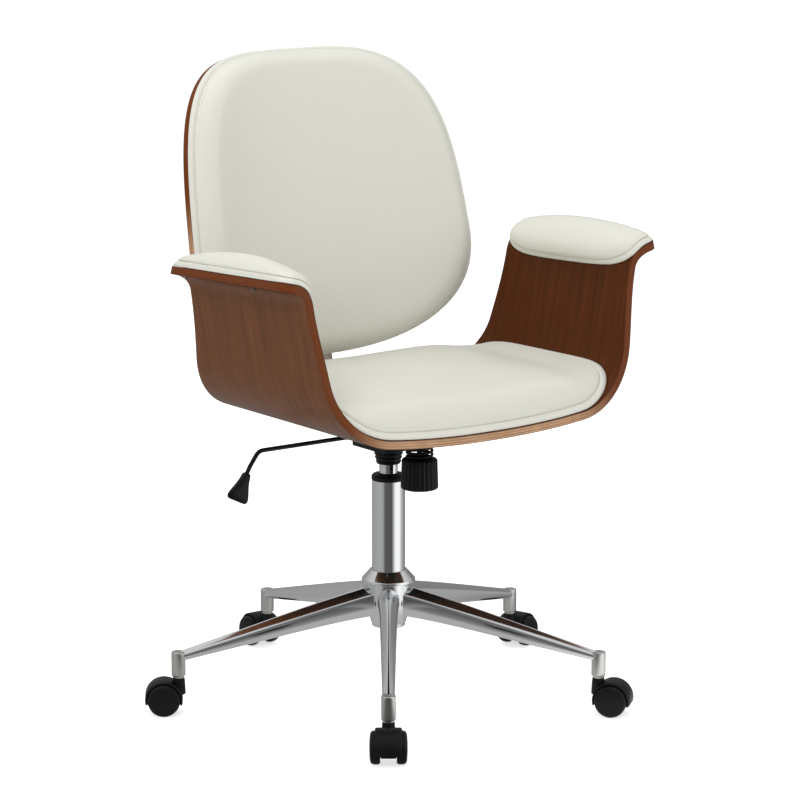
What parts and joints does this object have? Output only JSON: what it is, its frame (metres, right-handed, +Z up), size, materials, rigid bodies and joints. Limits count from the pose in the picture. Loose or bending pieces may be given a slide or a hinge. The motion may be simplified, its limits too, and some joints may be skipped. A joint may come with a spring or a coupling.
{
  "type": "office chair",
  "caption": "Office chair with a bent walnut seat and arms, cream padding, a padded back, a chrome height column and a swivelling wheeled base.",
  "frame": {"origin": "on the floor, at the centre of the chair's bounding rectangle seen from above, with every caster trailing outwards", "axes": "+Z up; the sitter faces -Y; +X is the sitter's left, and the height lever leaves towards -X"},
  "size_m": [0.7277, 0.6931, 0.9539],
  "materials": {
    "polished_chrome": "mirror polished chrome plate",
    "plain_steel": "plain zinc plated steel",
    "black_painted_steel": "satin black paint",
    "black_plastic": "moulded matte black plastic",
    "walnut_veneer": "satin varnished walnut veneer on bent plywood",
    "cream_leather": "smooth cream coated fabric"
  },
  "bodies": {
    "base": {"base_hub": "polished_chrome", "leg_1": "polished_chrome", "leg_2": "polished_chrome", "leg_3": "polished_chrome", "leg_4": "polished_chrome", "leg_5": "polished_chrome", "caster_stem_1": "plain_steel", "caster_stem_2": "plain_steel", "caster_stem_3": "plain_steel", "caster_stem_4": "plain_steel", "caster_stem_5": "plain_steel", "column_tube": "polished_chrome", "column_collar": "black_plastic", "guide_sleeve": "black_plastic", "thrust_bearing": "plain_steel"},
    "spindle": {"piston_rod": "plain_steel", "retaining_clip": "plain_steel"},
    "lift": {"gas_cylinder": "polished_chrome", "mechanism_tray": "black_painted_steel", "tilt_axle": "plain_steel", "tension_spring": "black_painted_steel"},
    "valve": {"valve_button": "plain_steel"},
    "lever_pivot": {"lever_bush": "black_plastic"},
    "lever": {"lever_rod": "black_painted_steel", "lever_handle": "black_plastic"},
    "seat": {"seat_plate": "black_painted_steel", "tension_bolt": "plain_steel", "seat_bolt_1": "plain_steel", "seat_bolt_2": "plain_steel", "seat_bolt_3": "plain_steel", "seat_bolt_4": "plain_steel", "seat_shell": "walnut_veneer", "seat_cushion": "cream_leather", "arm_pad_left": "cream_leather", "arm_pad_right": "cream_leather", "back_bar": "plain_steel", "back_shell": "walnut_veneer", "back_cushion": "cream_leather"},
    "spring_washer": {"tension_washer": "plain_steel"},
    "knob": {"tension_knob": "black_plastic"},
    "caster_1": {"caster_hood_1": "black_plastic", "caster_axle_1": "plain_steel"},
    "wheel_1_left": {"caster_wheel_1_left": "black_plastic"},
    "wheel_1_right": {"caster_wheel_1_right": "black_plastic"},
    "caster_2": {"caster_hood_2": "black_plastic", "caster_axle_2": "plain_steel"},
    "wheel_2_left": {"caster_wheel_2_left": "black_plastic"},
    "wheel_2_right": {"caster_wheel_2_right": "black_plastic"},
    "caster_3": {"caster_hood_3": "black_plastic", "caster_axle_3": "plain_steel"},
    "wheel_3_left": {"caster_wheel_3_left": "black_plastic"},
    "wheel_3_right": {"caster_wheel_3_right": "black_plastic"},
    "caster_4": {"caster_hood_4": "black_plastic", "caster_axle_4": "plain_steel"},
    "wheel_4_left": {"caster_wheel_4_left": "black_plastic"},
    "wheel_4_right": {"caster_wheel_4_right": "black_plastic"},
    "caster_5": {"caster_hood_5": "black_plastic", "caster_axle_5": "plain_steel"},
    "wheel_5_left": {"caster_wheel_5_left": "black_plastic"},
    "wheel_5_right": {"caster_wheel_5_right": "black_plastic"}
  },
  "joints": [
    {"name": "seat_swivel", "type": "hinge", "parent": "base", "child": "spindle", "pos_m": [0, -0.02961, 0.111], "axis": [0, 0, 1], "continuous": true},
    {"name": "seat_lift", "type": "slide", "parent": "spindle", "child": "lift", "axis": [0, 0, 1], "range_m": [0, 0.1]},
    {"name": "valve_press", "type": "slide", "parent": "lift", "child": "valve", "axis": [0, 0, -1], "range_m": [0, 0.0042], "stiffness_N_per_m": 200},
    {"name": "lever_lift", "type": "hinge", "parent": "lift", "child": "lever_pivot", "pos_m": [-0.03475, -0.02961, 0.3941], "axis": [0, 1, 0], "range_deg": [0, 6]},
    {"name": "lever_pull", "type": "slide", "parent": "lever_pivot", "child": "lever", "axis": [-1, 0, 0], "range_m": [0, 0.012]},
    {"name": "seat_tilt", "type": "hinge", "parent": "lift", "child": "seat", "pos_m": [0, -0.05361, 0.4127], "axis": [-1, 0, 0], "range_deg": [0, 11], "stiffness_Nm_per_rad": 80, "springref_deg": -14.32, "deforming": ["tension_spring"]},
    {"name": "tension_travel", "type": "slide", "parent": "seat", "child": "spring_washer", "axis": [0, 0, 1], "range_m": [0, 0.00376], "deforming": ["tension_spring"]},
    {"name": "tension_turn", "type": "hinge", "parent": "spring_washer", "child": "knob", "pos_m": [0, -0.10761, 0.36], "axis": [0, 0, 1], "range_deg": [0, 1080]},
    {"name": "caster_1_swivel", "type": "hinge", "parent": "base", "child": "caster_1", "pos_m": [-0.19221, -0.29416, 0.055], "axis": [0, 0, 1], "continuous": true},
    {"name": "wheel_1_left_spin", "type": "hinge", "parent": "caster_1", "child": "wheel_1_left", "pos_m": [-0.20514, -0.31196, 0.024], "axis": [0.809, -0.5878, 0], "continuous": true},
    {"name": "wheel_1_right_spin", "type": "hinge", "parent": "caster_1", "child": "wheel_1_right", "pos_m": [-0.20514, -0.31196, 0.024], "axis": [0.809, -0.5878, 0], "continuous": true},
    {"name": "caster_2_swivel", "type": "hinge", "parent": "base", "child": "caster_2", "pos_m": [0.19221, -0.29416, 0.055], "axis": [0, 0, 1], "continuous": true},
    {"name": "wheel_2_left_spin", "type": "hinge", "parent": "caster_2", "child": "wheel_2_left", "pos_m": [0.20605, -0.31126, 0.024], "axis": [0.7771, 0.6293, 0], "continuous": true},
    {"name": "wheel_2_right_spin", "type": "hinge", "parent": "caster_2", "child": "wheel_2_right", "pos_m": [0.20605, -0.31126, 0.024], "axis": [0.7771, 0.6293, 0], "continuous": true},
    {"name": "caster_3_swivel", "type": "hinge", "parent": "base", "child": "caster_3", "pos_m": [0.311, 0.07144, 0.055], "axis": [0, 0, 1], "continuous": true},
    {"name": "wheel_3_left_spin", "type": "hinge", "parent": "caster_3", "child": "wheel_3_left", "pos_m": [0.33192, 0.07824, 0.024], "axis": [-0.309, 0.9511, 0], "continuous": true},
    {"name": "wheel_3_right_spin", "type": "hinge", "parent": "caster_3", "child": "wheel_3_right", "pos_m": [0.33192, 0.07824, 0.024], "axis": [-0.309, 0.9511, 0], "continuous": true},
    {"name": "caster_4_swivel", "type": "hinge", "parent": "base", "child": "caster_4", "pos_m": [0, 0.29739, 0.055], "axis": [0, 0, 1], "continuous": true},
    {"name": "wheel_4_left_spin", "type": "hinge", "parent": "caster_4", "child": "wheel_4_left", "pos_m": [0, 0.31939, 0.024], "axis": [-1, 0, 0], "continuous": true},
    {"name": "wheel_4_right_spin", "type": "hinge", "parent": "caster_4", "child": "wheel_4_right", "pos_m": [0, 0.31939, 0.024], "axis": [-1, 0, 0], "continuous": true},
    {"name": "caster_5_swivel", "type": "hinge", "parent": "base", "child": "caster_5", "pos_m": [-0.311, 0.07144, 0.055], "axis": [0, 0, 1], "continuous": true},
    {"name": "wheel_5_left_spin", "type": "hinge", "parent": "caster_5", "child": "wheel_5_left", "pos_m": [-0.32945, 0.08342, 0.024], "axis": [-0.5446, -0.8387, 0], "continuous": true},
    {"name": "wheel_5_right_spin", "type": "hinge", "parent": "caster_5", "child": "wheel_5_right", "pos_m": [-0.32945, 0.08342, 0.024], "axis": [-0.5446, -0.8387, 0], "continuous": true}
  ],
  "couplings": [
    {"joint": "valve_press", "follows": "lever_lift", "m_per_rad": 0.0401},
    {"joint": "tension_travel", "follows": "tension_turn", "m_per_rad": 0.00019894}
  ]
}
